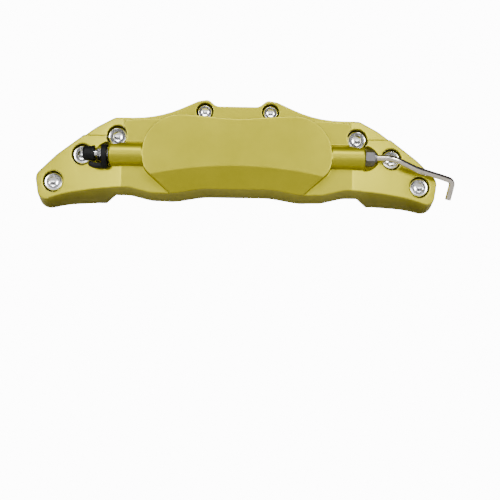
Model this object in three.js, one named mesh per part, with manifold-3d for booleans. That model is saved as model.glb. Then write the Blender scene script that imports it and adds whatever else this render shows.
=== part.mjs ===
// A decorative cover for a disc-brake caliper: a die-cast shell that looks like a multi-piston
// caliper, with cap screws in deep bosses, a bleed screw under a rubber dust cap, and a bent
// brake pipe in its flare nut.
//
// Every piece is laid out face up: x runs along the cover, y from its inner edge out to its
// ears, and z out of its face, from the rim at 0. The last lines stand the cover on its inner
// edge, face towards -Y, with the origin at the bottom centre of its box. Sizes are in mm.
import * as THREE from "three";
import { mergeVertices } from "three/addons/utils/BufferGeometryUtils.js";
import Module from "manifold-3d";

const wasm = await Module();
wasm.setup();

// ---- Driving sizes of the shell

const WALL = 2.6; // casting wall
const DRAFT = 5; // degrees, the side walls' taper out of the mould
const LOWER_DRAFT = 11.5; // degrees, the inner edge's wall leans more
const FACE_Z = 38; // main face above the rim
const TERRACE_DROP = 5; // the ledge along the outer edge, below the main face
const PANEL_RISE = 8; // the raised centre panel, above the main face
const WING_SLOPE = 16.5; // degrees, how the two ends fall away
const HALF_LENGTH = 138.4; // of the face, to its end corners
const WING_START_X = HALF_LENGTH - 60.4; // the crease where each wing begins
const EAR_TOP_Y = 74.2; // of the face, at the ears
const SHOULDER_Y = 60.9; // of the face, beyond the ears
const MIDDLE_RIM_Z = 19; // the shallow side walls between the ends
const RIM_STEP_X = HALF_LENGTH - 55.4; // where the rim starts to slope down to the deep end walls
const RIM_STEP_RUN = 9; // length of that slope

const PANEL_HALF_WIDTH = 63.3;
const PANEL_TOP_Y = 60.9; // at its two lobes
const PANEL_DIP = 2.6; // how much lower its outer edge is in the middle
const PANEL_CORNER_R = 24.5;
const PANEL_DRAFT = 3; // degrees
const CREASE_Y = 27; // the panel's crease, at its middle
const CREASE_R = 265; // radius of that crease in plan
const FACET_SLOPE = 24; // degrees, the panel's lower facet

const TUBE_Y = 35; // the two cross tubes' axis, which lies in the main face
const TUBE_R = 7.9;
const TUBE_END_X = HALF_LENGTH - 52.4;
const TUBE_CHAMFER = 0.9;
const POCKET_R = 9.2; // the scooped pocket past each tube's end
const POCKET_LENGTH = 13.5;
const CLIP_RECESS_R = 7; // the wider bore inside each tube, behind its end wall
const CLIP_RECESS_LENGTH = 7;

const BOSS_END_Z = 4; // back faces of the six end bosses
const EAR_BOSS_END_Z = 20; // back faces of the two ear bosses
const BOSS_WALL = 1.7; // metal round a counterbore
const EAR_FLOOR = 2; // metal left under the ear screws' blind holes
const EJECTOR_RISE = 0.5; // ejector-pin marks inside the casting

// ---- Driving sizes of the fittings

const GAP = 0.3; // between pieces that touch
const HEAD_GAP = 0.9; // around a screw head in its counterbore
const HEAD_SINK = 3.2; // from a screw head up to the face around it
const EDGE = 0.5; // chamfer on screw heads and nuts

const M8 = { headR: 6.4, headH: 8, shankR: 4.4, keyAcross: 6, keyDepth: 4 };
const M6 = { headR: 5, headH: 6, shankR: 3, keyAcross: 5, keyDepth: 3 };
const SEATS = [
  { name: "outer", x: HALF_LENGTH - 12, y: 17.5, size: M8, drop: 0, bossEndZ: BOSS_END_Z },
  { name: "middle", x: HALF_LENGTH - 32.6, y: 35.6, size: M8, drop: 0, bossEndZ: BOSS_END_Z },
  { name: "upper", x: HALF_LENGTH - 56.6, y: 48.2, size: M8, drop: TERRACE_DROP, bossEndZ: BOSS_END_Z },
  { name: "ear", x: 22.4, y: EAR_TOP_Y - 8.2, size: M6, drop: TERRACE_DROP, bossEndZ: EAR_BOSS_END_Z },
];

const STEM_R = 2.1; // the brake pipe, and the bleed screw's stem
const STEM_INNER_X = TUBE_END_X - 8.5; // both reach this far into their tubes
const CLIP_R = 5.2; // push-on clips behind the tubes' end walls
const CLIP_THICKNESS = 1.2;
const BLEED_HEX_ACROSS = 8;
const BLEED_HEX_LENGTH = 7.6;
const NIPPLE_R = 2.9;
const NIPPLE_LENGTH = 7;
const RING_R = 7.4; // the dust cap's rubber ring
const RING_LENGTH = 3.6;
const RING_SAG = 1; // how far the slack ring hangs below the axis
const CAP_R = 5.3;
const CAP_LENGTH = 8;
const CAP_END_X = TUBE_END_X + 17.6;
const CAP_WALL = 1.8;
const CAP_ROUND = 1.5;
const STRAP_WIDTH = 5;
const STRAP_THICKNESS = 3;
const STRAP_BOW = 1.6; // how far the slack strap hangs out below the cap
const STRAP_CAP_REACH = 4; // how far along the cap it is joined
const NUT_ACROSS = 10;
const NUT_LENGTH = 6.4;
const COLLAR_R = 3.4; // the nut's round collar
const COLLAR_LENGTH = 1.6;

// ---- Materials

const gold = new THREE.MeshStandardMaterial({ color: 0xb7ab45, roughness: 0.4, metalness: 0.7 });
const chrome = new THREE.MeshStandardMaterial({ color: 0xe6e6ea, roughness: 0.12, metalness: 1 });
const steel = new THREE.MeshStandardMaterial({ color: 0x8d8a84, roughness: 0.35, metalness: 1 });
const nickel = new THREE.MeshStandardMaterial({ color: 0xc9bfae, roughness: 0.25, metalness: 1 });
const rubber = new THREE.MeshStandardMaterial({ color: 0x101012, roughness: 0.7, metalness: 0 });

// ---- Helpers

const slope = (degrees) => Math.tan(THREE.MathUtils.degToRad(degrees));
const far = 200; // past the cover's edges, for cutting shapes

// A closed three.js geometry as a manifold-3d solid, with its faces pointing out.
function solid(geometry) {
  const bare = geometry.clone();
  for (const name of Object.keys(bare.attributes)) {
    if (name !== "position") bare.deleteAttribute(name);
  }
  const merged = mergeVertices(bare, 1e-4);
  const vertProperties = new Float32Array(merged.attributes.position.array);
  const triVerts = new Uint32Array(merged.index.array);
  const made = new wasm.Manifold(new wasm.Mesh({ numProp: 3, vertProperties, triVerts }));
  if (made.volume() > 0) return made;
  triVerts.reverse();
  return new wasm.Manifold(new wasm.Mesh({ numProp: 3, vertProperties, triVerts }));
}

function meshOf(name, made, material) {
  const { vertProperties, triVerts } = made.getMesh();
  const geometry = new THREE.BufferGeometry();
  geometry.setAttribute("position", new THREE.BufferAttribute(vertProperties, 3));
  geometry.setIndex(new THREE.BufferAttribute(triVerts, 1));
  geometry.computeVertexNormals();
  const mesh = new THREE.Mesh(geometry, material);
  mesh.name = name;
  return mesh;
}

// A polygon with rounded corners, as points going anticlockwise. Each corner is [x, y, radius].
function rounded(corners) {
  const points = [];
  corners.forEach(([x, y, radius], i) => {
    const here = new THREE.Vector2(x, y);
    const [beforeX, beforeY] = corners.at(i - 1);
    const [afterX, afterY] = corners[(i + 1) % corners.length];
    const back = new THREE.Vector2(beforeX, beforeY).sub(here).normalize();
    const on = new THREE.Vector2(afterX, afterY).sub(here).normalize();
    const turn = Math.PI - Math.acos(back.dot(on));
    const reach = radius * Math.tan(turn / 2);
    const centre = back.clone().add(on).setLength(radius / Math.cos(turn / 2)).add(here);
    const start = back.multiplyScalar(reach).add(here).sub(centre);
    const end = on.multiplyScalar(reach).add(here).sub(centre);
    const side = Math.sign(start.cross(end));
    const steps = Math.max(2, Math.ceil(turn / 0.2), Math.ceil((radius * turn) / 8));
    for (let k = 0; k <= steps; k += 1) {
      const spun = start.clone().rotateAround(new THREE.Vector2(), (side * turn * k) / steps);
      points.push(spun.add(centre));
    }
  });
  return THREE.ShapeUtils.isClockWise(points) ? points.reverse() : points;
}

// The same corners on both sides of x = 0, going down the right and up the left.
function mirrored(corners, middle = []) {
  const left = corners.map(([x, y, radius]) => [-x, y, radius]).reverse();
  return rounded([...middle, ...corners, ...left]);
}

// The outline moved outwards by a distance, or inwards by a negative one. Edges that face -y
// move by a further amount.
function offset(points, distance, lower = 0) {
  return points.map((here, i) => {
    const before = here.clone().sub(points.at(i - 1)).normalize();
    const after = points[(i + 1) % points.length].clone().sub(here).normalize();
    const out = new THREE.Vector2(before.y + after.y, -before.x - after.x).normalize();
    const reach = (distance + lower * Math.max(0, -out.y)) / (out.x * after.y - out.y * after.x);
    return here.clone().addScaledVector(out, reach);
  });
}

// A prism whose walls taper, and which has the given outline at levelZ.
function tapered(outline, levelZ, lowZ, highZ, draft, lowerDraft = draft) {
  const ring = (z) => {
    const side = (levelZ - z) * slope(draft);
    return offset(outline, side, (levelZ - z) * slope(lowerDraft) - side);
  };
  const low = ring(lowZ);
  const high = ring(highZ);
  const count = outline.length;
  const position = [];
  for (const point of low) position.push(point.x, point.y, lowZ);
  for (const point of high) position.push(point.x, point.y, highZ);
  const index = [];
  for (let i = 0; i < count; i += 1) {
    const next = (i + 1) % count;
    index.push(i, next, count + next, i, count + next, count + i);
  }
  for (const [a, b, c] of THREE.ShapeUtils.triangulateShape(low, [])) index.push(a, c, b);
  for (const [a, b, c] of THREE.ShapeUtils.triangulateShape(high, [])) {
    index.push(count + a, count + b, count + c);
  }
  const geometry = new THREE.BufferGeometry();
  geometry.setAttribute("position", new THREE.Float32BufferAttribute(position, 3));
  geometry.setIndex(index);
  return solid(geometry);
}

// A prism with the given outline, straight up between two heights.
const upright = (outline, lowZ, highZ) => tapered(outline, 0, lowZ, highZ, 0);

// An outline given in x and z, pulled along y from one side of the cover to the other.
function acrossCover(corners) {
  const shape = new THREE.Shape(corners.map(([x, z]) => new THREE.Vector2(x, z)));
  const geometry = new THREE.ExtrudeGeometry(shape, { depth: 2 * far, bevelEnabled: false });
  return solid(geometry.rotateX(Math.PI / 2).translate(0, far, 0));
}

// A round shape along z, turned from its profile of [radius, z].
function turned(profile, segments = 24) {
  return solid(new THREE.LatheGeometry(profile.map(([r, z]) => new THREE.Vector2(r, z)), segments)
    .rotateX(Math.PI / 2));
}

const rod = (radius, lowZ, highZ, segments = 24) =>
  turned([[0, lowZ], [radius, lowZ], [radius, highZ], [0, highZ]], segments);

// A hexagonal bar along z, given its width across the flats.
const hexRod = (across, lowZ, highZ) =>
  rod(across / Math.sqrt(3), lowZ, highZ, 6);

// Lays a shape made along z onto a tube's axis: z becomes the distance out from the middle.
function ontoTube(made, side, y = TUBE_Y) {
  return made.rotate([0, side * 90, 0]).translate([0, y, FACE_Z]);
}

// ---- The casting

// The inner edge's shallow wave, right half.
const INNER_EDGE = [[73, 10.9, 16], [58, 7.3, 20], [42, 6.9, 30], [23, 10.2, 50]];

// Outline at OUTLINE_Z, right half, from the outer edge round to the inner edge.
const OUTLINE_Z = FACE_Z - 8;
const body = mirrored([
  [14.5, EAR_TOP_Y - 4.6, 6],
  [20, EAR_TOP_Y, WALL + 1.9],
  [27, EAR_TOP_Y - 1.2, 7],
  [53.8, SHOULDER_Y, 80],
  [HALF_LENGTH - 54.9, SHOULDER_Y, WALL + 1.4],
  [HALF_LENGTH - 41.4, SHOULDER_Y - 6.5, 40],
  [HALF_LENGTH - 14.4, 35.4, 30],
  [HALF_LENGTH, 22.2, WALL + 2.4],
  [HALF_LENGTH - 2.8, 6, WALL + 2.6],
  [HALF_LENGTH - 19.4, 9.7, 80],
  [HALF_LENGTH - 40.4, 11, 60],
  ...INNER_EDGE,
]);

// A plain shape with the same inner edge, which trims the centre panel.
const trim = mirrored([[far, far, far / 4], [far, 11, far / 4], ...INNER_EDGE]);

const panel = mirrored([
  [34, PANEL_TOP_Y, 50],
  [PANEL_HALF_WIDTH, PANEL_TOP_Y, PANEL_CORNER_R],
  [PANEL_HALF_WIDTH, 25.4, 13],
  [36, 1.9, WALL + 0.4],
], [[0, PANEL_TOP_Y - PANEL_DIP, 60]]);

// The ledge's inner edge in plan, right half: along the panel's lobe, down to the upper screw,
// and out across the wing.
const ledge = mirrored([
  [58, PANEL_TOP_Y - 1.4, 0.5],
  [HALF_LENGTH - 63, PANEL_TOP_Y - 2.6, 0.8],
  [HALF_LENGTH - 57.9, 47.5, 0.5],
  [HALF_LENGTH - 32.4, 49, 0.5],
  [far, 49, 1],
  [far, far, 1],
]);

// Everything above the main face and its two sloping wings, lowered by a drop.
function aboveFace(drop) {
  const z = FACE_Z - drop;
  const endZ = z - (far - WING_START_X) * slope(WING_SLOPE);
  return acrossCover([
    [-far, endZ], [-WING_START_X, z], [WING_START_X, z], [far, endZ], [far, far], [-far, far],
  ]);
}

const faceZ = (x) => FACE_Z - Math.max(0, x - WING_START_X) * slope(WING_SLOPE);

// Everything above the centre panel's lower facet, which leans back from the crease.
function aboveFacet(inset) {
  const z = FACE_Z + PANEL_RISE - inset;
  const reach = 40;
  const centreY = CREASE_Y - CREASE_R + inset * slope(FACET_SLOPE / 2);
  return turned([
    [CREASE_R, z], [CREASE_R, z + reach],
    [CREASE_R - reach, z + reach], [CREASE_R - reach, z - reach * slope(FACET_SLOPE)],
    [CREASE_R, z],
  ], 120).translate([0, centreY, 0]);
}

// The outer form with every surface moved in by a distance. Its walls run on down to lowZ.
function form(inset, lowZ) {
  const outline = offset(body, -inset);
  const deck = tapered(outline, OUTLINE_Z, lowZ, FACE_Z, DRAFT, LOWER_DRAFT)
    .subtract(aboveFace(inset))
    .subtract(aboveFace(TERRACE_DROP + inset).intersect(upright(offset(ledge, inset), 0, far)));
  const topZ = FACE_Z + PANEL_RISE - inset;
  const centre = tapered(offset(panel, -inset), topZ, MIDDLE_RIM_Z, topZ, PANEL_DRAFT)
    .intersect(tapered(offset(trim, -inset), OUTLINE_Z, 0, topZ + 1, DRAFT, LOWER_DRAFT))
    .subtract(aboveFacet(inset));
  return deck.add(centre);
}

// A cross tube, with a chamfered end, and only as deep as the wall it stands on.
function crossTube(side, inset) {
  const radius = TUBE_R - inset;
  const endX = TUBE_END_X - inset;
  const startX = PANEL_HALF_WIDTH - WALL;
  const floorZ = FACE_Z - WALL - TUBE_CHAMFER;
  const round = turned([
    [0, startX], [radius, startX], [radius, endX - TUBE_CHAMFER],
    [radius - TUBE_CHAMFER, endX], [0, endX],
  ], 32);
  const upper = acrossCover([[-far, floorZ], [far, floorZ], [far, far], [-far, far]]);
  return ontoTube(round, side).intersect(upper);
}

// The bullet-shaped pocket past a tube's end, or the bulge round it for a positive outset.
function pocket(side, outset) {
  const profile = [[0, TUBE_END_X - outset], [POCKET_R + outset, TUBE_END_X - outset]];
  const steps = 6;
  for (let k = 0; k < steps; k += 1) {
    const angle = (k / steps) * (Math.PI / 2);
    const x = TUBE_END_X + (POCKET_LENGTH + outset) * Math.sin(angle);
    profile.push([(POCKET_R + outset) * Math.cos(angle), x]);
  }
  profile.push([0, TUBE_END_X + POCKET_LENGTH + outset]);
  return ontoTube(turned(profile, 28), side);
}

// The seat of one screw: where its counterbore's floor lies.
const seatZ = ({ x, drop, size }) => faceZ(x) - drop - HEAD_SINK - size.headH - GAP;

function shell() {
  const outer = form(0, 0);
  let made = outer.subtract(form(WALL, -1));
  const stepRun = RIM_STEP_RUN * (1 + 1 / MIDDLE_RIM_Z);
  made = made.subtract(acrossCover([
    [-RIM_STEP_X - stepRun, -1], [RIM_STEP_X + stepRun, -1],
    [RIM_STEP_X, MIDDLE_RIM_Z], [-RIM_STEP_X, MIDDLE_RIM_Z],
  ]));
  for (const side of [-1, 1]) {
    made = made.add(crossTube(side, 0)).subtract(crossTube(side, WALL));
    made = made.add(pocket(side, WALL).intersect(outer.add(crossTube(side, 0))));
    for (const { x, y, size, bossEndZ } of SEATS) {
      const bossR = size.headR + HEAD_GAP + BOSS_WALL;
      const boss = rod(bossR, bossEndZ, faceZ(x), 28).translate([side * x, y, 0]);
      made = made.add(boss.intersect(outer));
    }
  }
  for (const side of [-1, 1]) {
    made = made.subtract(pocket(side, 0));
    const recess = rod(CLIP_RECESS_R, TUBE_END_X - WALL - CLIP_RECESS_LENGTH, TUBE_END_X - WALL);
    const bore = rod(STEM_R + GAP, WING_START_X, TUBE_END_X + 1);
    made = made.subtract(ontoTube(recess, side)).subtract(ontoTube(bore, side));
    for (const seat of SEATS) {
      const holeZ = seat.size === M8 ? 0 : seat.bossEndZ + EAR_FLOOR;
      const bored = rod(seat.size.headR + HEAD_GAP, seatZ(seat), far / 2, 28)
        .add(rod(seat.size.shankR + GAP, holeZ, far / 2));
      made = made.subtract(bored.translate([side * seat.x, seat.y, 0]));
    }
  }
  return made;
}

// Round marks that the mould's ejector pins left inside, as [x, y, radius, drop of the deck].
const EJECTOR_MARKS = [
  [HALF_LENGTH - 67.9, 19, 4.6, 0], [HALF_LENGTH - 67.9, 51.5, 4.6, 0],
  [HALF_LENGTH - 30.9, 16, 4.6, 0],
  [37.5, EAR_TOP_Y - 10.6, 3.4, TERRACE_DROP],
];

function ejectorMarks() {
  const marks = [rod(4, FACE_Z - TERRACE_DROP - WALL - EJECTOR_RISE, FACE_Z - TERRACE_DROP - 1)
    .translate([0, 65, 0])];
  for (const [x, y, radius, drop] of EJECTOR_MARKS) {
    for (const side of [-1, 1]) {
      const topZ = faceZ(x + radius) - drop - 1;
      marks.push(rod(radius, faceZ(x) - drop - WALL - EJECTOR_RISE, topZ, 28)
        .translate([side * x, y, 0]));
    }
  }
  return marks;
}

// ---- Screws

// A socket head cap screw standing on z = 0, its shank going down.
function capScrew({ headR, headH, shankR, keyAcross, keyDepth }, length) {
  const turnedBody = turned([
    [0, -length], [shankR - EDGE, -length], [shankR, EDGE - length], [shankR, 0], [headR, 0],
    [headR, headH - EDGE], [headR - EDGE, headH], [0, headH],
  ]);
  const key = hexRod(keyAcross, headH - keyDepth, headH + 1);
  const mouth = turned([
    [0, headH - keyAcross / 2 - EDGE], [keyAcross / 2 + EDGE, headH], [keyAcross / 2, headH + 1],
    [0, headH + 1],
  ]);
  return turnedBody.subtract(key).subtract(mouth);
}

function screws() {
  return SEATS.flatMap((seat) => [-1, 1].map((side) => {
    const standZ = seatZ(seat) + GAP;
    const tipZ = seat.size === M8 ? seat.bossEndZ : seat.bossEndZ + EAR_FLOOR + GAP;
    const made = capScrew(seat.size, standZ - tipZ).translate([side * seat.x, seat.y, standZ]);
    return meshOf(`${seat.name}_screw_${side < 0 ? "left" : "right"}`, made, chrome);
  }));
}

// ---- Bleed screw, on the left

const bleedHexX = TUBE_END_X + GAP;
const ringX = bleedHexX + 0.9;
const nippleX = bleedHexX + BLEED_HEX_LENGTH;

function bleedScrew() {
  const neckR = NIPPLE_R - 0.5;
  const hex = hexRod(BLEED_HEX_ACROSS, bleedHexX, nippleX)
    .intersect(turned([
      [0, bleedHexX], [BLEED_HEX_ACROSS / 2, bleedHexX],
      [BLEED_HEX_ACROSS / 2 + 1, bleedHexX + 1], [BLEED_HEX_ACROSS / 2 + 1, nippleX - 1],
      [BLEED_HEX_ACROSS / 2, nippleX], [0, nippleX],
    ]));
  const core = turned([
    [0, STEM_INNER_X], [STEM_R, STEM_INNER_X], [STEM_R, bleedHexX + 1], [neckR, bleedHexX + 1],
    [neckR, nippleX + 2], [NIPPLE_R, nippleX + 2.8], [NIPPLE_R, nippleX + 3.8],
    [neckR, nippleX + NIPPLE_LENGTH], [0, nippleX + NIPPLE_LENGTH],
  ]);
  return ontoTube(hex.add(core), -1);
}

function clip() {
  const highZ = TUBE_END_X - WALL - GAP;
  return rod(CLIP_R, highZ - CLIP_THICKNESS, highZ)
    .subtract(rod(STEM_R + GAP, highZ - CLIP_THICKNESS - 1, highZ + 1));
}

function capRing() {
  const hole = rod(BLEED_HEX_ACROSS / Math.sqrt(3) + GAP, ringX - 1, ringX + RING_LENGTH + 1);
  const round = turned([
    [0, ringX], [RING_R - EDGE, ringX], [RING_R, ringX + EDGE],
    [RING_R, ringX + RING_LENGTH - EDGE], [RING_R - EDGE, ringX + RING_LENGTH],
    [0, ringX + RING_LENGTH],
  ]);
  return ontoTube(round, -1, TUBE_Y - RING_SAG).subtract(ontoTube(hole, -1));
}

function dustCap() {
  const mouthX = CAP_END_X - CAP_LENGTH;
  const boreR = NIPPLE_R + GAP;
  return ontoTube(turned([
    [0, CAP_END_X - CAP_WALL], [boreR, CAP_END_X - CAP_WALL], [boreR, mouthX],
    [CAP_R - EDGE, mouthX], [CAP_R, mouthX + EDGE], [CAP_R, CAP_END_X - CAP_ROUND],
    [CAP_R - CAP_ROUND * 0.3, CAP_END_X - CAP_ROUND * 0.3], [CAP_R - CAP_ROUND, CAP_END_X],
    [0, CAP_END_X],
  ]), -1);
}

// The strap runs from the ring's face to under the cap, and bows out between them.
function strap() {
  const startX = -(ringX + RING_LENGTH + GAP);
  const endX = CAP_LENGTH - STRAP_CAP_REACH - CAP_END_X;
  const length = startX - endX;
  const y = TUBE_Y - CAP_R - GAP - STRAP_THICKNESS / 2;
  const path = new THREE.CubicBezierCurve3(
    new THREE.Vector3(startX, y - STRAP_BOW / 2, FACE_Z),
    new THREE.Vector3(startX - length / 3, y - STRAP_BOW / 2, FACE_Z),
    new THREE.Vector3(startX - length / 2, y - STRAP_BOW, FACE_Z),
    new THREE.Vector3(endX, y, FACE_Z),
  );
  const section = new THREE.Shape([[-1, -1], [1, -1], [1, 1], [-1, 1]].map(([a, b]) =>
    new THREE.Vector2((a * STRAP_WIDTH) / 2, (b * STRAP_THICKNESS) / 2)));
  return solid(new THREE.ExtrudeGeometry(section, { steps: 14, extrudePath: path }));
}

// ---- Brake pipe, on the right

const nutX = TUBE_END_X + GAP;

function flareNut() {
  const highX = nutX + NUT_LENGTH;
  const cornerR = NUT_ACROSS / Math.sqrt(3);
  const rounding = turned([
    [0, nutX], [NUT_ACROSS / 2, nutX], [cornerR, nutX + EDGE], [cornerR, highX - EDGE],
    [NUT_ACROSS / 2, highX], [0, highX],
  ]);
  const made = hexRod(NUT_ACROSS, nutX, highX).intersect(rounding)
    .add(turned([
      [0, highX - 1], [COLLAR_R, highX - 1], [COLLAR_R, highX + COLLAR_LENGTH - EDGE],
      [COLLAR_R - EDGE, highX + COLLAR_LENGTH], [0, highX + COLLAR_LENGTH],
    ]));
  return ontoTube(made.subtract(rod(STEM_R + GAP, nutX - 1, highX + far)), 1);
}

// A point past the nut, given from the cover's end, the tubes' axis and the wing's face.
const overWing = (pastEnd, y, rise) => {
  const x = HALF_LENGTH + pastEnd;
  return [x, TUBE_Y + y, faceZ(x) + rise];
};

// Where the pipe's straight lengths meet, and how far from each meeting its bend starts.
const PIPE_ROUTE = [
  { at: [STEM_INNER_X, TUBE_Y, FACE_Z] },
  { at: [TUBE_END_X + 20, TUBE_Y, FACE_Z], bend: 5 },
  { at: overWing(-16.4, -6.4, 7.4), bend: 4 },
  { at: overWing(2.1, -10.4, 6.1), bend: 3 },
  { at: overWing(11.2, -12.8, 5.6), bend: 3.6 },
  { at: overWing(8.8, -25.4, 0.7) },
];

function brakePipe() {
  const corners = PIPE_ROUTE.map(({ at }) => new THREE.Vector3(...at));
  const path = new THREE.CurvePath();
  let from = corners[0];
  for (let i = 1; i < corners.length - 1; i += 1) {
    const { bend } = PIPE_ROUTE[i];
    const into = corners[i - 1].clone().sub(corners[i]).setLength(bend).add(corners[i]);
    const out = corners[i + 1].clone().sub(corners[i]).setLength(bend).add(corners[i]);
    path.add(new THREE.LineCurve3(from, into));
    path.add(new THREE.QuadraticBezierCurve3(into, corners[i], out));
    from = out;
  }
  path.add(new THREE.LineCurve3(from, corners.at(-1)));
  const section = new THREE.Shape();
  section.absarc(0, 0, STEM_R, 0, 2 * Math.PI);
  return solid(new THREE.ExtrudeGeometry(section, {
    steps: 56, curveSegments: 5, extrudePath: path,
  }));
}

// ---- The cover

const cover = new THREE.Group();
cover.add(meshOf("cover_shell", ejectorMarks().reduce((sum, mark) => sum.add(mark), shell()), gold));
cover.add(...screws());
cover.add(meshOf("bleed_screw", bleedScrew(), chrome));
cover.add(meshOf("bleed_screw_clip", ontoTube(clip(), -1), steel));
cover.add(meshOf("cap_ring", capRing(), rubber));
cover.add(meshOf("cap_strap", strap(), rubber));
cover.add(meshOf("dust_cap", dustCap(), rubber));
cover.add(meshOf("flare_nut", flareNut(), steel));
cover.add(meshOf("brake_pipe", brakePipe(), nickel));
cover.add(meshOf("pipe_clip", ontoTube(clip(), 1), steel));

// Stand it up, and put the origin at the bottom centre of its box.
cover.rotation.x = Math.PI / 2;
const standing = new THREE.Group();
standing.add(cover);
const box = new THREE.Box3().setFromObject(standing, true);
const middle = box.getCenter(new THREE.Vector3());
cover.position.set(-middle.x, -middle.y, -box.min.z);

export default standing;
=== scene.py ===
# %% [markdown]
# # A cover for a brake caliper
#
# This notebook dresses a brake-caliper cover: a hollow metal casting, painted gold outside
# and bare inside, with chrome cap screws, a bleed screw under a rubber dust cap, and a bent
# brake pipe. The sizes and the moving joints come ready made in a frame of plain solids. Each
# cell below finishes one piece or one material, and prints what it made.

import math

import bmesh
import bpy
from mathutils import Matrix, Vector
from mathutils.bvhtree import BVHTree


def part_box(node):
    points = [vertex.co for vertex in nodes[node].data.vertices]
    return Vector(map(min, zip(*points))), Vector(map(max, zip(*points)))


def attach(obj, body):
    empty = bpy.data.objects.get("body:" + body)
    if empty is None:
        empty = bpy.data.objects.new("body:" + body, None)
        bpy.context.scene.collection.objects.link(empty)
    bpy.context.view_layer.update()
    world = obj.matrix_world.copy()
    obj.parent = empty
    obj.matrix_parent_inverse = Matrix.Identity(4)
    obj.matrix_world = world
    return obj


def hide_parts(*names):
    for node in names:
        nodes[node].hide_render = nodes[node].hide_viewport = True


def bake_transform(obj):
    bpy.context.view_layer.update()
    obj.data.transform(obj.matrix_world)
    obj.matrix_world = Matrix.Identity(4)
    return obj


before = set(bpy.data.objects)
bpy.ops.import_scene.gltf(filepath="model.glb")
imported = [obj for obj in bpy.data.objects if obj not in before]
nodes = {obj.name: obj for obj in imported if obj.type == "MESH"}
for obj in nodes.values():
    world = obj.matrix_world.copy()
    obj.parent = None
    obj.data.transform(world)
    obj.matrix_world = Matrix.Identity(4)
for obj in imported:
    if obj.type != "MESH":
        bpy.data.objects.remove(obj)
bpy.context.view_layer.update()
MM = 0.001

shell_low, shell_high = (Vector(corner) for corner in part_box("cover_shell"))

# %% [markdown]
# The cover was drawn lying face up: x along it, y from its inner edge to its ears, and z out of
# its face. In the frame it stands on its inner edge with its face towards -Y. One function turns
# a drawn point in millimetres into a place in the frame, so the pipe's route and the camera can
# be given in the drawing's own numbers.

# %% From the drawing to the frame
DRAWN_LOWEST_Y = 0.95  # where the drawing's inner edge has its lowest point
MIDDLE_X = (shell_low.x + shell_high.x) / 2
RIM_Y = shell_high.y


def drawn(x, y, z):
    """A point of the drawing, in metres in the frame."""
    return Vector((MIDDLE_X + x * MM, RIM_Y - z * MM, (y - DRAWN_LOWEST_Y) * MM))


print("middle of the panel:", [round(value, 4) for value in drawn(0, 40, 46)])

# %% [markdown]
# ## The view
# The camera stands a little below the cover and looks slightly up at its face, from about two
# thirds of a metre. A lens of 66 mm keeps the long casting straight, without the swelling
# of a wide lens. A camera's place is easiest to set with a "look at" direction: the vector from
# the camera to its target is turned into a rotation, and then rolled by just under a degree.

# %% Camera
LENS_MM = 65.8
CAMERA_AT = drawn(0, -60.4, 650)
LOOK_AT = drawn(10.2, -26.6, 0)
ROLL = math.radians(0.85)

camera = bpy.data.objects.new("camera", bpy.data.cameras.new("camera"))
camera.data.lens = LENS_MM
camera.data.clip_start = 0.05
camera.location = CAMERA_AT
look = (LOOK_AT - CAMERA_AT).to_track_quat("-Z", "Y")
camera.rotation_euler = (look.to_matrix().to_4x4() @ Matrix.Rotation(ROLL, 4, "Z")).to_euler()
bpy.context.scene.collection.objects.link(camera)
bpy.context.scene.camera = camera
print("camera is", round((LOOK_AT - CAMERA_AT).length, 3), "m from its target")

# %% [markdown]
# ## Floor and light
# A satin casting wants large, soft lights: a small lamp would leave hard specks. One wide panel
# hangs above and in front, one stands at each end so that the sloping wings catch it, a weak one
# fills from the front, and one lights the back. The floor is pale and plain. The camera
# sits just under its level, so the floor's material is clear from beneath: Geometry's
# Backfacing picks a Transparent shader there.

# %% Floor
FLOOR_SIZE = 4.0

floor_mesh = bpy.data.meshes.new("floor")
bm = bmesh.new()
bmesh.ops.create_grid(bm, x_segments=1, y_segments=1, size=FLOOR_SIZE / 2)
bm.to_mesh(floor_mesh)
bm.free()
floor = bpy.data.objects.new("floor", floor_mesh)
bpy.context.scene.collection.objects.link(floor)

floor_look = bpy.data.materials.new("pale_floor")
floor_look.use_nodes = True
tree = floor_look.node_tree
paper = tree.nodes["Principled BSDF"]
paper.inputs["Base Color"].default_value = (0.86, 0.86, 0.86, 1)
paper.inputs["Roughness"].default_value = 0.9
paper.inputs["Specular IOR Level"].default_value = 0.1
underside = tree.nodes.new("ShaderNodeBsdfTransparent")
geometry = tree.nodes.new("ShaderNodeNewGeometry")
pick = tree.nodes.new("ShaderNodeMixShader")
tree.links.new(geometry.outputs["Backfacing"], pick.inputs["Fac"])
tree.links.new(paper.outputs["BSDF"], pick.inputs[1])
tree.links.new(underside.outputs["BSDF"], pick.inputs[2])
tree.links.new(pick.outputs["Shader"], tree.nodes["Material Output"].inputs["Surface"])
floor.data.materials.append(floor_look)
print("floor", FLOOR_SIZE, "m wide")

# %% Lights
CENTRE = drawn(0, 36, 20)


def softbox(name, place, size, power):
    """An area light at a place round the cover's centre, turned to face it."""
    lamp = bpy.data.objects.new(name, bpy.data.lights.new(name, "AREA"))
    lamp.data.shape = "RECTANGLE"
    lamp.data.size, lamp.data.size_y = size
    lamp.data.energy = power
    lamp.location = CENTRE + Vector(place)
    lamp.rotation_euler = (-Vector(place)).to_track_quat("-Z", "Y").to_euler()
    bpy.context.scene.collection.objects.link(lamp)
    return lamp


softbox("top_light", (0.0, -0.8, 0.62), (0.7, 0.25), 8)
softbox("left_light", (-0.66, -0.95, 0.12), (0.28, 0.45), 8)
softbox("right_light", (0.66, -0.95, 0.14), (0.28, 0.45), 8)
softbox("front_light", (0.0, -1.3, 0.0), (0.6, 0.1), 1.5)
softbox("back_light", (0.0, 0.9, 0.6), (0.8, 0.4), 3)

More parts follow.
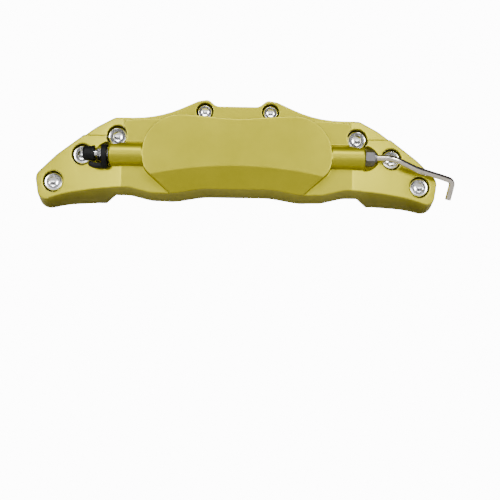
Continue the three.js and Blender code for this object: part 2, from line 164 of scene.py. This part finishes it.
BACKDROP = 16.0  # what the camera sees behind the cover
SURROUND = 0.06  # what lights the cover
world = bpy.data.worlds.new("studio")
bpy.context.scene.world = world
world.use_nodes = True
tree = world.node_tree
backdrop = tree.nodes["Background"]
backdrop.inputs["Color"].default_value = (1, 1, 1, 1)
backdrop.inputs["Strength"].default_value = SURROUND
seen = tree.nodes.new("ShaderNodeBackground")
seen.inputs["Strength"].default_value = BACKDROP
path = tree.nodes.new("ShaderNodeLightPath")
pick = tree.nodes.new("ShaderNodeMixShader")
tree.links.new(path.outputs["Is Camera Ray"], pick.inputs["Fac"])
tree.links.new(backdrop.outputs["Background"], pick.inputs[1])
tree.links.new(seen.outputs["Background"], pick.inputs[2])
tree.links.new(pick.outputs["Shader"], tree.nodes["World Output"].inputs["Surface"])
print("five soft lights")

# %% [markdown]
# ## Shared effects
# Real finishes are never one flat value. Each effect here is a small shader node group that puts
# out masks and heights. It is built once and then placed in every material that wants
# it, with its own scale, so the grain of the paint and the grain of the bare casting are the
# same recipe at different strengths.


# %% A helper that starts a node group
def new_group(name, inputs, outputs):
    """A shader node group with float sockets, and its input and output nodes."""
    group = bpy.data.node_groups.new(name, "ShaderNodeTree")
    for socket, value in inputs.items():
        made = group.interface.new_socket(socket, in_out="INPUT", socket_type="NodeSocketFloat")
        made.default_value = value
    for socket in outputs:
        group.interface.new_socket(socket, in_out="OUTPUT", socket_type="NodeSocketFloat")
    return group, group.nodes.new("NodeGroupInput"), group.nodes.new("NodeGroupOutput")


def noise(tree, coordinates, detail=4.0, roughness=0.55):
    """A Noise Texture reading Object coordinates, with its Scale left free."""
    node = tree.nodes.new("ShaderNodeTexNoise")
    node.inputs["Detail"].default_value = detail
    node.inputs["Roughness"].default_value = roughness
    tree.links.new(coordinates.outputs["Object"], node.inputs["Vector"])
    return node


def math_node(tree, operation, first, second):
    """A Math node whose inputs are sockets or numbers, and its output socket."""
    node = tree.nodes.new("ShaderNodeMath")
    node.operation = operation
    for socket, value in zip(node.inputs, (first, second)):
        if isinstance(value, (int, float)):
            socket.default_value = value
        else:
            tree.links.new(value, socket)
    return node.outputs["Value"]


print("helpers ready")

# %% [markdown]
# ### Skin
# A sprayed or cast skin has two sizes of unevenness: a slow mottle, as where the paint lies a
# little thicker, and a fine grain. Both could be drawn from image textures, but noise on Object
# coordinates needs no unwrapping and never repeats.

# %% Skin group
skin, given, result = new_group(
    "Skin", {"Mottle Scale": 30.0, "Grain Scale": 1500.0}, ["Mottle", "Grain"]
)
place = skin.nodes.new("ShaderNodeTexCoord")
slow = noise(skin, place, detail=3.0)
fine = noise(skin, place, detail=2.0, roughness=0.7)
skin.links.new(given.outputs["Mottle Scale"], slow.inputs["Scale"])
skin.links.new(given.outputs["Grain Scale"], fine.inputs["Scale"])
skin.links.new(slow.outputs["Fac"], result.inputs["Mottle"])
skin.links.new(fine.outputs["Fac"], result.inputs["Grain"])
print("group", skin.name)

# %% [markdown]
# ### Edges
# One mask follows convex edges and one concave corners. Cycles measures how convex a dense mesh
# is at each point and calls it Pointiness: 0.5 is flat. Two ranges of it, broken up by noise,
# make the two masks. The gold paint uses them for a painted highlight along the edges and
# painted shade in the corners; the rubber uses the corner mask for a trace of dust.

# %% Edges group
edges, given, result = new_group(
    "Edges", {"Edge Start": 0.53, "Corner Start": 0.47, "Break-up Scale": 260.0}, ["Edge", "Corner"]
)
place = edges.nodes.new("ShaderNodeTexCoord")
shape = edges.nodes.new("ShaderNodeNewGeometry")
breaks = noise(edges, place, detail=5.0)
edges.links.new(given.outputs["Break-up Scale"], breaks.inputs["Scale"])
EDGE_RANGE = 0.06
EDGE_GAIN = 1.7  # makes up for what the noise takes away
for output, side in (("Edge", 1), ("Corner", -1)):
    ramp = edges.nodes.new("ShaderNodeMapRange")
    start = given.outputs[f"{output} Start"]
    edges.links.new(shape.outputs["Pointiness"], ramp.inputs["Value"])
    edges.links.new(start, ramp.inputs["From Min"])
    edges.links.new(math_node(edges, "ADD", start, side * EDGE_RANGE), ramp.inputs["From Max"])
    broken = math_node(edges, "MULTIPLY", ramp.outputs["Result"], breaks.outputs["Fac"])
    edges.links.new(math_node(edges, "MULTIPLY", broken, EDGE_GAIN), result.inputs[output])
print("group", edges.name)


# %% A helper that starts a material
def new_look(name, group_values=None):
    """A material with its shader, and the shared groups placed in it by name."""
    look = bpy.data.materials.new(name)
    look.use_nodes = True
    tree = look.node_tree
    placed = {}
    for group, values in (group_values or {}).items():
        node = tree.nodes.new("ShaderNodeGroup")
        node.node_tree = bpy.data.node_groups[group]
        for socket, value in values.items():
            node.inputs[socket].default_value = value
        placed[group] = node
    return look, tree, tree.nodes["Principled BSDF"], placed


def blend_colour(tree, mask, first, second):
    """Mixes two colours, each a socket or an (r, g, b), by a mask."""
    node = tree.nodes.new("ShaderNodeMix")
    node.data_type = "RGBA"
    tree.links.new(mask, node.inputs["Factor"])
    for socket, value in ((node.inputs["A"], first), (node.inputs["B"], second)):
        if isinstance(value, tuple):
            socket.default_value = (*value, 1)
        else:
            tree.links.new(value, socket)
    return node.outputs["Result"]


def blend_value(tree, mask, first, second):
    """Mixes two numbers by a mask."""
    node = tree.nodes.new("ShaderNodeMapRange")
    tree.links.new(mask, node.inputs["Value"])
    for socket, value in ((node.inputs["To Min"], first), (node.inputs["To Max"], second)):
        if isinstance(value, (int, float)):
            socket.default_value = value
        else:
            tree.links.new(value, socket)
    return node.outputs["Result"]


def add_bump(tree, shader, height, distance, strength):
    """Turns a height in 0 to 1 into small bumps, at most a distance deep."""
    node = tree.nodes.new("ShaderNodeBump")
    node.inputs["Strength"].default_value = strength
    node.inputs["Distance"].default_value = distance
    tree.links.new(height, node.inputs["Height"])
    tree.links.new(node.outputs["Normal"], shader.inputs["Normal"])


print("material helpers ready")

# %% [markdown]
# ## Finishes
# ### Gold paint over a bare casting
# The shell is one casting in two finishes: satin gold paint on every face that a spray gun in
# front of it can reach, and dark bare metal inside. The shell's mesh will carry an attribute
# that is 0 outside and 1 inside, so one material can blend the two and let a little overspray
# run over the rim. The attribute is also 1 down the screws' counterbores, where the dark metal
# is painted shade. The gold carries a painted highlight on convex edges and painted shade in
# concave corners.

# %% Painted casting
GOLD = (0.47, 0.425, 0.02)
GOLD_DEEP = (0.38, 0.345, 0.013)
# painted highlight colour for convex edges
GOLD_PAINTED_HIGHLIGHT = (0.85, 0.8, 0.16)
# painted shade colour for concave corners and seams
GOLD_PAINTED_SHADE = (0.085, 0.076, 0.009)
CAST = (0.115, 0.108, 0.094)
CAST_DARK = (0.05, 0.047, 0.041)


def painted_casting():
    look, tree, shader, groups = new_look("gold_paint_and_casting", {
        "Skin": {"Mottle Scale": 34.0, "Grain Scale": 1300.0},
        "Edges": {"Edge Start": 0.52, "Corner Start": 0.485},
    })
    skin, edges = groups["Skin"], groups["Edges"]
    paint = blend_colour(tree, skin.outputs["Mottle"], GOLD_DEEP, GOLD)
    # painted highlight along convex edges
    paint = blend_colour(tree, edges.outputs["Edge"], paint, GOLD_PAINTED_HIGHLIGHT)
    # painted shade in concave corners and seams
    paint = blend_colour(tree, edges.outputs["Corner"], paint, GOLD_PAINTED_SHADE)

    coordinates = tree.nodes.new("ShaderNodeTexCoord")
    blotch = noise(tree, coordinates, detail=6.0, roughness=0.65)
    blotch.inputs["Scale"].default_value = 85.0
    metal = blend_colour(tree, blotch.outputs["Fac"], CAST_DARK, CAST)

    # bare casting inside the hollow, and painted shade down the screws' counterbores
    bare_and_painted_shade = tree.nodes.new("ShaderNodeAttribute")
    bare_and_painted_shade.attribute_name = "bare_and_painted_shade"
    overspray = math_node(tree, "SUBTRACT", blotch.outputs["Fac"], 0.5)
    overspray = math_node(tree, "MULTIPLY", overspray, 0.4)
    paint_edge_and_shade = math_node(tree, "ADD", bare_and_painted_shade.outputs["Fac"], overspray)
    mask = tree.nodes.new("ShaderNodeMapRange")
    mask.inputs["From Min"].default_value = 0.4
    mask.inputs["From Max"].default_value = 0.6
    tree.links.new(paint_edge_and_shade, mask.inputs["Value"])
    bare_and_shade_mask = mask.outputs["Result"]

    tree.links.new(blend_colour(tree, bare_and_shade_mask, paint, metal), shader.inputs["Base Color"])
    paint_rough = blend_value(tree, skin.outputs["Mottle"], 0.36, 0.46)
    metal_rough = blend_value(tree, blotch.outputs["Fac"], 0.62, 0.42)
    tree.links.new(blend_value(tree, bare_and_shade_mask, paint_rough, metal_rough), shader.inputs["Roughness"])
    tree.links.new(blend_value(tree, bare_and_shade_mask, 0.88, 0.75), shader.inputs["Metallic"])
    height = blend_value(tree, bare_and_shade_mask, skin.outputs["Grain"], blotch.outputs["Fac"])
    add_bump(tree, shader, height, 0.05 * MM, 0.35)
    return look


gold_and_cast = painted_casting()
print(gold_and_cast.name, len(gold_and_cast.node_tree.nodes), "nodes")

# %% [markdown]
# ### Plated metals
# Chrome, nickel and dull zinc are the same material with other numbers: a metal whose colour,
# roughness and fine scratches differ. A function takes those numbers, and a stretched noise
# stands in for the marks that turning and bending leave.


# %% Plated metal
def plated(name, colour, shade, roughness, marks=(900.0, 900.0, 90.0), depth=0.01):
    """A metal finish with slow clouding and fine directional marks."""
    look, tree, shader, groups = new_look(name, {"Skin": {"Mottle Scale": 120.0}})
    skin = groups["Skin"]
    coordinates = tree.nodes.new("ShaderNodeTexCoord")
    stretch = tree.nodes.new("ShaderNodeMapping")
    stretch.inputs["Scale"].default_value = marks
    tree.links.new(coordinates.outputs["Object"], stretch.inputs["Vector"])
    lines = tree.nodes.new("ShaderNodeTexNoise")
    lines.inputs["Scale"].default_value = 1.0
    lines.inputs["Detail"].default_value = 3.0
    tree.links.new(stretch.outputs["Vector"], lines.inputs["Vector"])
    clouded = blend_colour(tree, skin.outputs["Mottle"], shade, colour)
    tree.links.new(clouded, shader.inputs["Base Color"])
    rough = blend_value(tree, lines.outputs["Fac"], roughness * 0.7, roughness * 1.3)
    tree.links.new(rough, shader.inputs["Roughness"])
    shader.inputs["Metallic"].default_value = 1.0
    add_bump(tree, shader, lines.outputs["Fac"], depth * MM, 0.3)
    return look


chrome = plated("chrome", (0.95, 0.95, 0.96), (0.85, 0.85, 0.87), 0.17)
zinc = plated("zinc_steel_plate", (0.25, 0.245, 0.25), (0.15, 0.147, 0.15), 0.33, depth=0.02)
nickel = plated("nickel", (0.88, 0.82, 0.73), (0.66, 0.6, 0.51), 0.17, marks=(90.0, 900.0, 900.0))
print("plated finishes:", chrome.name, zinc.name, nickel.name)

# %% [markdown]
# ### Moulded rubber
# Rubber is almost black but never quite: its broad, weak highlight and a trace of pale dust give
# away its shape. The dust follows the same Edges group, in its corners.


# %% Rubber
RUBBER = (0.0025, 0.0025, 0.003)
RUBBER_DEEP = (0.0012, 0.0012, 0.0015)
RUBBER_DUST = (0.007, 0.0065, 0.006)


def moulded_rubber():
    look, tree, shader, groups = new_look("moulded_rubber", {
        "Skin": {"Mottle Scale": 260.0, "Grain Scale": 2600.0},
        "Edges": {"Edge Start": 0.53, "Corner Start": 0.48},
    })
    skin, edges = groups["Skin"], groups["Edges"]
    black = blend_colour(tree, skin.outputs["Mottle"], RUBBER_DEEP, RUBBER)
    dusty = blend_colour(tree, edges.outputs["Corner"], black, RUBBER_DUST)
    shader.inputs["Specular IOR Level"].default_value = 0.2
    tree.links.new(dusty, shader.inputs["Base Color"])
    rough = blend_value(tree, skin.outputs["Mottle"], 0.5, 0.66)
    tree.links.new(rough, shader.inputs["Roughness"])
    add_bump(tree, shader, skin.outputs["Grain"], 0.04 * MM, 0.4)
    return look


rubber = moulded_rubber()
print(rubber.name)

# %% [markdown]
# ## The casting
# The frame's shell has knife-sharp edges, and a die casting has none. A Bevel modifier would
# need clean quads, which a solid cut out with booleans doesn't have. So the shell is rebuilt
# on a fine voxel grid instead: Remesh turns it into one even skin, a few rounds of Smooth melt
# every edge and inner corner to the small radius that a mould leaves, and Decimate drops the
# triangles that the flat faces don't need.


# %% Functions that every piece uses
def add_object(name, mesh, look):
    """A new smooth object from a mesh, with its material."""
    made = bpy.data.objects.new(name, mesh)
    bpy.context.scene.collection.objects.link(made)
    made.data.materials.clear()
    made.data.materials.append(look)
    made.data.shade_smooth()
    return made


def bake_modifiers(piece):
    """Replaces a piece's mesh by what its modifiers make of it, and drops the modifiers."""
    seen = piece.evaluated_get(bpy.context.evaluated_depsgraph_get())
    baked = bpy.data.meshes.new_from_object(seen)
    piece.modifiers.clear()
    piece.data = baked
    baked.shade_smooth()


def triangles(piece):
    piece.data.calc_loop_triangles()
    return len(piece.data.loop_triangles)


# %% Cast skin
VOXEL = 0.43 * MM
CAST_TRIANGLES = 188000

bm = bmesh.new()
bm.from_mesh(nodes["cover_shell"].data)
bmesh.ops.remove_doubles(bm, verts=bm.verts, dist=1e-6)
casting_mesh = bpy.data.meshes.new("cover_casting")
bm.to_mesh(casting_mesh)
bm.free()
casting = add_object("cover_casting", casting_mesh, gold_and_cast)

remesh = casting.modifiers.new("grid", "REMESH")
remesh.mode = "VOXEL"
remesh.voxel_size = VOXEL
soften = casting.modifiers.new("soften", "SMOOTH")
soften.factor = 0.5
soften.iterations = 3
bake_modifiers(casting)
fewer = casting.modifiers.new("fewer", "DECIMATE")
fewer.ratio = CAST_TRIANGLES / triangles(casting)
bake_modifiers(casting)
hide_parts("cover_shell")
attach(casting, "cover")
print("casting", triangles(casting), "triangles")

# %% [markdown]
# ### Where the paint reaches, and painted shade down the counterbores
# A spray gun in front of the cover paints what it can see. From every point of the casting a
# few rays lean out towards the front, like the cone of a spray. The share of them that is blocked
# by the casting or by a screw becomes the point's bare value: 0 on the face and the outside
# walls, 1 inside the hollow and down the screws' counterbores. Inside the hollow that is the
# real bare casting; down the counterbores and round the screw heads, where the screws block
# the rays, it is painted shade. Painting this mask by hand would work too, but it would have to
# be redone whenever a size changes.

# %% Bare attribute, with painted shade down the counterbores
SPRAY_LEAN = 0.45  # how far the cone's rays lean, as a share of their length
SKIN_OFFSET = 0.35 * MM
# blocked rays give bare metal inside the hollow and painted shade down the counterbores
BARE_GAIN, BARE_START = 2, 0.7  # turn the blocked share into bare: none under 0.35, all over 0.85

bm = bmesh.new()
bm.from_mesh(casting.data)
for name, node in nodes.items():
    if "_screw_" in name:
        bm.from_mesh(node.data)
blockers = BVHTree.FromBMesh(bm)
bm.free()
spray = [Vector((0, -1, 0))]
for turn in range(6):
    angle = turn * math.pi / 3
    lean = Vector((math.cos(angle), 0, math.sin(angle))) * SPRAY_LEAN
    spray.append((Vector((0, -1, 0)) + lean).normalized())

bare_and_painted_shade = casting.data.attributes.new("bare_and_painted_shade", "FLOAT", "POINT")
for vertex in casting.data.vertices:
    start = vertex.co + vertex.normal * SKIN_OFFSET
    blocked = sum(blockers.ray_cast(start, ray)[0] is not None for ray in spray)
    bare_and_painted_shade.data[vertex.index].value = min(
        1.0, max(0.0, blocked / len(spray) * BARE_GAIN - BARE_START)
    )
share = sum(point.value > 0.5 for point in bare_and_painted_shade.data) / len(bare_and_painted_shade.data)
print("bare share of the casting:", round(share, 2))

# %% [markdown]
# ## Turned and hexagonal pieces
# Most fittings are round, so a profile spun round an axis makes them. Every corner of a profile
# carries its own rounding radius, which is where the bright lines along edges come from. The same
# spin in six steps makes a hexagonal bar, and a Boolean modifier cuts or joins the two.


# %% Profiles and spins
def rounded_corner(start, corner, end, steps):
    """Points along a curve that leaves start towards a corner and comes from it to end."""
    points = []
    for step in range(steps + 1):
        t = step / steps
        points.append(start * (1 - t) ** 2 + corner * 2 * t * (1 - t) + end * t**2)
    return points


def softened(corners, steps=4):
    """A profile of (radius, height, rounding) corners in mm, as a list of points."""
    points = []
    for i, (r, h, rounding) in enumerate(corners):
        here = Vector((r, h))
        if not rounding:
            points.append(here)
            continue
        start = here + (Vector(corners[i - 1][:2]) - here).normalized() * rounding
        after = corners[(i + 1) % len(corners)][:2]
        end = here + (Vector(after) - here).normalized() * rounding
        points += rounded_corner(start, here, end, steps)
    return points


def spun(corners, base, axis, steps=64, side=None, closed=False):
    """A mesh turned from a profile, round an axis through base."""
    axis = Vector(axis).normalized()
    side = side or axis.orthogonal().normalized()
    bm = bmesh.new()
    line = [bm.verts.new(base + (side * r + axis * h) * MM) for r, h in softened(corners)]
    edges = [bm.edges.new(pair) for pair in zip(line, line[1:])]
    if closed:
        edges.append(bm.edges.new((line[-1], line[0])))
    bmesh.ops.spin(
        bm, geom=line + edges, cent=base, axis=axis, angle=2 * math.pi, steps=steps, use_merge=True
    )
    bmesh.ops.remove_doubles(bm, verts=bm.verts, dist=1e-7)
    bmesh.ops.recalc_face_normals(bm, faces=bm.faces)
    mesh = bpy.data.meshes.new("spun")
    bm.to_mesh(mesh)
    bm.free()
    return mesh


def combine(piece, operation, mesh):
    """Cuts, joins or intersects a piece with another mesh."""
    other = bpy.data.objects.new("tool", mesh)
    bpy.context.scene.collection.objects.link(other)
    step = piece.modifiers.new("combine", "BOOLEAN")
    step.operation = operation
    step.solver = "MANIFOLD"
    step.object = other
    look = piece.data.materials[0]
    bake_modifiers(piece)
    piece.data.materials.clear()
    piece.data.materials.append(look)
    bpy.data.objects.remove(other)


def break_edges(piece, width):
    """A small rounding on every sharp edge, with smooth shading between the flats."""
    bevel = piece.modifiers.new("edges", "BEVEL")
    bevel.width = width * MM
    bevel.segments = 2
    bevel.limit_method = "ANGLE"
    bevel.angle_limit = math.radians(32)
    bevel.harden_normals = True
    bake_modifiers(piece)


def hexagon(across, low, high, base, axis, side=None):
    """A hexagonal bar, as a mesh."""
    corner = across / math.sqrt(3)
    profile = [(0, low, 0), (corner, low, 0), (corner, high, 0), (0, high, 0)]
    return spun(profile, base, axis, 6, side)


print("turning functions ready")

# %% [markdown]
# ### Socket head cap screws
# The eight chrome screws are two sizes of the same kind of screw. Each takes its place and its
# length from the frame's node. The hexagonal key hole is cut last, and ends in the shallow cone
# that a drill leaves.

# %% Cap screws
TOWARDS_FACE = Vector((0, -1, 0))
M8 = {"head": 6.4, "height": 8.0, "shank": 4.4, "key": 6.0, "depth": 4.0}
M6 = {"head": 5.0, "height": 6.0, "shank": 3.0, "key": 5.0, "depth": 3.0}


def cap_screw(node, size, turn):
    """A cap screw in the place of a frame node, its key hole turned by an angle."""
    low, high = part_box(node)
    tip = Vector(((low.x + high.x) / 2, high.y, (low.z + high.z) / 2))
    top = (high.y - low.y) / MM
    under = top - size["height"]
    head, shank = size["head"], size["shank"]
    mesh = spun(
        [
            (0, 0, 0), (shank - 0.6, 0, 0.2), (shank, 0.6, 0.2), (shank, under, 0),
            (head - 0.2, under, 0.15), (head, under + 0.2, 0.15), (head, top - 0.2, 0.7),
            (head - 1.5, top, 0.5), (size["key"] / 2 + 1.4, top, 0.3), (0, top - 0.05, 0),
        ],
        tip, TOWARDS_FACE,
    )
    screw = add_object(node.replace("screw", "cap_screw"), mesh, chrome)
    side = Vector((math.cos(turn), 0, math.sin(turn)))
    corner = size["key"] / math.sqrt(3)
    floor_height = top - size["depth"]
    key = [
        (0, floor_height - 1.2, 0), (corner, floor_height, 0), (corner, top + 1, 0), (0, top + 1, 0)
    ]
    combine(screw, "DIFFERENCE", spun(key, tip, TOWARDS_FACE, 6, side))
    mouth = [(0, top - corner, 0), (corner + 0.35, top + 0.35, 0), (0, top + 1, 0)]
    combine(screw, "DIFFERENCE", spun(mouth, tip, TOWARDS_FACE))
    break_edges(screw, 0.08)
    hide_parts(node)
    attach(screw, "cover")
    return screw


KEY_TURNS = {
    "outer_screw_left": 0.35, "middle_screw_left": 0.1, "upper_screw_left": 0.5,
    "ear_screw_left": 0.25, "outer_screw_right": 0.8, "middle_screw_right": 0.3,
    "upper_screw_right": 0.6, "ear_screw_right": 0.95,
}
screws = [
    cap_screw(name, M6 if name.startswith("ear") else M8, turn) for name, turn in KEY_TURNS.items()
]
print(len(screws), "cap screws,", triangles(screws[0]), "triangles each")

# %% [markdown]
# ### Bleed screw and flare nut
# Both hexagons sit against a cross tube's end. Each is a hexagonal bar cut to a round, chamfered
# shape, which leaves the curved facets seen at the corners of any real nut.

# %% Hexagon fittings
LEFT, RIGHT = Vector((-1, 0, 0)), Vector((1, 0, 0))
UP = Vector((0, 0, 1))
TUBE_AXIS = drawn(0, 35, 38)
HEX_START = 86.3
STEM_R = 2.1
STEM_INNER = 77.5
CHAMFER_REACH = 2.8  # how far in the corner chamfers would run, 1 mm past each end
BLEED_ACROSS, BLEED_LENGTH = 8.0, 7.6
NUT_ACROSS, NUT_LENGTH = 10.0, 6.4


def chamfered_hexagon(name, across, length, direction, look):
    """A chamfered hexagonal bar on the tubes' axis."""
    end = HEX_START + length
    bar = hexagon(across, HEX_START, end, TUBE_AXIS, direction, UP)
    piece = add_object(name, bar, look)
    corner = across / math.sqrt(3) + 0.1
    inner = corner - CHAMFER_REACH
    combine(piece, "INTERSECT", spun(
        [
            (0, HEX_START - 1, 0), (inner, HEX_START - 1, 0), (corner, HEX_START + 0.5, 0),
            (corner, end - 0.5, 0), (inner, end + 1, 0), (0, end + 1, 0),
        ],
        TUBE_AXIS, direction,
    ))
    return piece


bleed = chamfered_hexagon("bleed_nipple", BLEED_ACROSS, BLEED_LENGTH, LEFT, chrome)
hex_end = HEX_START + BLEED_LENGTH
combine(bleed, "UNION", spun(
    [
        (0, STEM_INNER, 0), (STEM_R, STEM_INNER, 0.4), (STEM_R, HEX_START + 1, 0),
        (2.4, HEX_START + 1, 0), (2.4, hex_end + 1.9, 0.3), (2.9, hex_end + 2.7, 0.3),
        (2.9, hex_end + 3.9, 0.3), (2.4, hex_end + 7, 0.3), (0, hex_end + 7, 0),
    ],
    TUBE_AXIS, LEFT,
))
break_edges(bleed, 0.12)
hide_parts("bleed_screw")
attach(bleed, "cover")

nut = chamfered_hexagon("pipe_nut", NUT_ACROSS, NUT_LENGTH, RIGHT, zinc)
nut_end = HEX_START + NUT_LENGTH
combine(nut, "UNION", spun(
    [(0, nut_end - 1, 0), (3.4, nut_end - 1, 0), (3.4, nut_end + 1.6, 0.5), (0, nut_end + 1.6, 0)],
    TUBE_AXIS, RIGHT,
))
NUT_BORE_R = 2.35
bore = [
    (0, HEX_START - 1, 0), (NUT_BORE_R, HEX_START - 1, 0), (NUT_BORE_R, nut_end + 3, 0),
    (0, nut_end + 3, 0),
]
combine(nut, "DIFFERENCE", spun(bore, TUBE_AXIS, RIGHT))
break_edges(nut, 0.12)
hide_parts("flare_nut")
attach(nut, "cover")
print("bleed nipple", triangles(bleed), "and nut", triangles(nut), "triangles")

# %% [markdown]
# ### Push-on clips
# Behind each tube's end wall a star-shaped spring washer grips the stem. It is a dished ring of
# sheet steel whose inner half is slit into six prongs. Spinning an open profile gives the dish,
# deleting a few of its faces opens the slits, and Solidify gives the sheet its thickness.

# %% Clips
CLIP_START = 81.9
CLIP_DISH = [(5.1, 0.25), (4.5, 0.25), (3.7, 0.3), (3.2, 0.5), (2.45, 0.85)]  # radius, height
SLIT_OUTER_R = 4.4
PRONGS = 6
STEPS_PER_PRONG = 8


def in_slit(face):
    """Whether a face of the dish lies between two prongs."""
    out = face.calc_center_median() - TUBE_AXIS
    pitch = 2 * math.pi / PRONGS
    turn = math.atan2(out.z, out.y) % pitch
    return math.hypot(out.y, out.z) < SLIT_OUTER_R * MM and turn < pitch / STEPS_PER_PRONG


def push_on_clip(name, node, direction, body):
    profile = [(radius, CLIP_START + height, 0) for radius, height in CLIP_DISH]
    mesh = spun(profile, TUBE_AXIS, direction, PRONGS * STEPS_PER_PRONG)
    bm = bmesh.new()
    bm.from_mesh(mesh)
    bmesh.ops.delete(bm, geom=[face for face in bm.faces if in_slit(face)], context="FACES")
    bm.to_mesh(mesh)
    bm.free()
    piece = add_object(name, mesh, zinc)
    sheet = piece.modifiers.new("sheet", "SOLIDIFY")
    sheet.thickness = 0.35 * MM
    sheet.offset = 0
    bake_modifiers(piece)
    break_edges(piece, 0.06)
    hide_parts(node)
    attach(piece, body)
    return piece


clips = [
    push_on_clip("nipple_clip", "bleed_screw_clip", LEFT, "cover"),
    push_on_clip("brake_pipe_clip", "pipe_clip", RIGHT, "pipe"),
]
print(len(clips), "clips,", triangles(clips[0]), "triangles each")

# %% [markdown]
# ### Brake pipe
# The pipe is a round section carried along a bent line, which is what a curve with a bevel depth
# is. Its straight lengths meet in short bends, as a pipe bender leaves them. The curve becomes a
# mesh with closed ends, so the pipe's free end is solid.

# %% Brake pipe
BEND_STEPS = 12
ROUTE = [  # where the straight lengths meet in the drawing, and how long each bend is
    ((STEM_INNER, 35, 38), 0), ((106, 35, 38), 5), ((122, 28.6, 32.4), 4),
    ((140.5, 24.6, 25.6), 3), ((149.6, 22.2, 22.4), 3.6), ((147.2, 9.6, 18.2), 0),
]


corners = [drawn(*place) for place, _ in ROUTE]
line = [corners[0]]
for i in range(1, len(corners) - 1):
    bend = ROUTE[i][1] * MM
    start = corners[i] + (corners[i - 1] - corners[i]).normalized() * bend
    end = corners[i] + (corners[i + 1] - corners[i]).normalized() * bend
    line += rounded_corner(start, corners[i], end, BEND_STEPS)
line.append(corners[-1])

curve = bpy.data.curves.new("pipe_line", "CURVE")
curve.dimensions = "3D"
curve.bevel_depth = STEM_R * MM
curve.bevel_resolution = 6
curve.use_fill_caps = True
spline = curve.splines.new("POLY")
spline.points.add(len(line) - 1)
for point, place in zip(spline.points, line):
    point.co = (*place, 1)
pipe_line = bpy.data.objects.new("pipe_line", curve)
bpy.context.scene.collection.objects.link(pipe_line)
pipe_mesh = bpy.data.meshes.new_from_object(
    pipe_line.evaluated_get(bpy.context.evaluated_depsgraph_get())
)
bpy.data.objects.remove(pipe_line)
bm = bmesh.new()
bm.from_mesh(pipe_mesh)
bmesh.ops.remove_doubles(bm, verts=bm.verts, dist=1e-6)
bmesh.ops.recalc_face_normals(bm, faces=bm.faces)
bm.to_mesh(pipe_mesh)
bm.free()

pipe = add_object("bent_brake_pipe", pipe_mesh, nickel)
break_edges(pipe, 0.3)
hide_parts("brake_pipe")
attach(pipe, "pipe")
print("pipe", triangles(pipe), "triangles")

# %% [markdown]
# ### Rubber dust cap
# The cap, its strap and its ring are three rubber pieces. The ring hangs slack round the bleed
# screw's hexagon with a thick tab below, the strap bows down from the tab, and the cap covers the
# nipple.

# %% Dust cap and ring
CAP_END = 103.6
CAP_MOUTH = 95.6

cap = add_object("rubber_dust_cap", spun(
    [
        (0, CAP_END - 1.8, 0), (3.2, CAP_END - 1.8, 0.3), (3.2, CAP_MOUTH, 0.3),
        (5.3, CAP_MOUTH, 0.6), (5.3, CAP_MOUTH + 1.7, 0.6), (4.85, CAP_MOUTH + 2.4, 0.4),
        (4.95, CAP_END - 1.6, 0.6), (4.1, CAP_END, 1.0), (0, CAP_END - 0.1, 0),
    ],
    TUBE_AXIS, LEFT,
), rubber)
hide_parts("dust_cap")
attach(cap, "cap")

RING_START = 87.2
RING_LENGTH = 3.6
RING_R = 7.4
RING_HOLE_R = 4.9
RING_SAG = 1.0
TAB_DROP = 2.1

ring_end = RING_START + RING_LENGTH
ring_mesh = spun(
    [
        (RING_HOLE_R, RING_START, 0.4), (RING_R, RING_START, 0.8), (RING_R, ring_end, 0.8),
        (RING_HOLE_R, ring_end, 0.4),
    ],
    TUBE_AXIS, LEFT, closed=True,
)
for vertex in ring_mesh.vertices:
    out = Vector((0, vertex.co.y - TUBE_AXIS.y, vertex.co.z - TUBE_AXIS.z))
    share = (out.length / MM - RING_HOLE_R) / (RING_R - RING_HOLE_R)
    down = max(0.0, -out.normalized().z)
    vertex.co += (out.normalized() * TAB_DROP * down**8 - UP * RING_SAG) * share * MM
ring = add_object("rubber_ring", ring_mesh, rubber)
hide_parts("cap_ring")
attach(ring, "cover")
print("cap", triangles(cap), "and ring", triangles(ring), "triangles")

# %% [markdown]
# The strap starts as a cube with rounded edges, as long as the gap it spans. Planes cut it into
# short lengths, and each of its points is then carried onto a curved line that hangs below the
# cap.

# %% Strap
STRAP_WIDTH = 5.6
STRAP_THICKNESS = 3.6
STRAP_BOW = 0.8
STRAP_CUTS = 24

strap_start = drawn(-(ring_end - 0.6), 26.9, 38)
strap_end = drawn(-(CAP_END - 4), 28.4, 38)
reach = (strap_start - strap_end).length
handles = [
    strap_start, strap_start + LEFT * reach * 0.35,
    strap_start + LEFT * reach * 0.55 - UP * STRAP_BOW * MM, strap_end,
]


def along_strap(t):
    weights = ((1 - t) ** 3, 3 * t * (1 - t) ** 2, 3 * t**2 * (1 - t), t**3)
    return sum((handle * weight for handle, weight in zip(handles, weights)), Vector())


bm = bmesh.new()
bmesh.ops.create_cube(bm, size=1)
bmesh.ops.scale(bm, verts=bm.verts, vec=(reach, STRAP_WIDTH * MM, STRAP_THICKNESS * MM))
bmesh.ops.bevel(
    bm, geom=bm.edges[:], offset=1.3 * MM, segments=5, profile=0.5, affect="EDGES", material=-1
)
for cut in range(1, STRAP_CUTS):
    bmesh.ops.bisect_plane(
        bm, geom=bm.verts[:] + bm.edges[:] + bm.faces[:],
        plane_co=(reach * (cut / STRAP_CUTS - 0.5), 0, 0), plane_no=(1, 0, 0),
    )
for vertex in bm.verts:
    t = vertex.co.x / reach + 0.5
    ahead = (along_strap(t + 0.01) - along_strap(t - 0.01)).normalized()
    across = Vector((0, 1, 0))
    vertex.co = along_strap(t) + across * vertex.co.y + ahead.cross(across) * vertex.co.z
bmesh.ops.recalc_face_normals(bm, faces=bm.faces)
strap_mesh = bpy.data.meshes.new("rubber_strap")
bm.to_mesh(strap_mesh)
bm.free()
strap = add_object("rubber_strap", strap_mesh, rubber)
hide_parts("cap_strap")
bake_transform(strap)
print("strap", triangles(strap), "triangles")
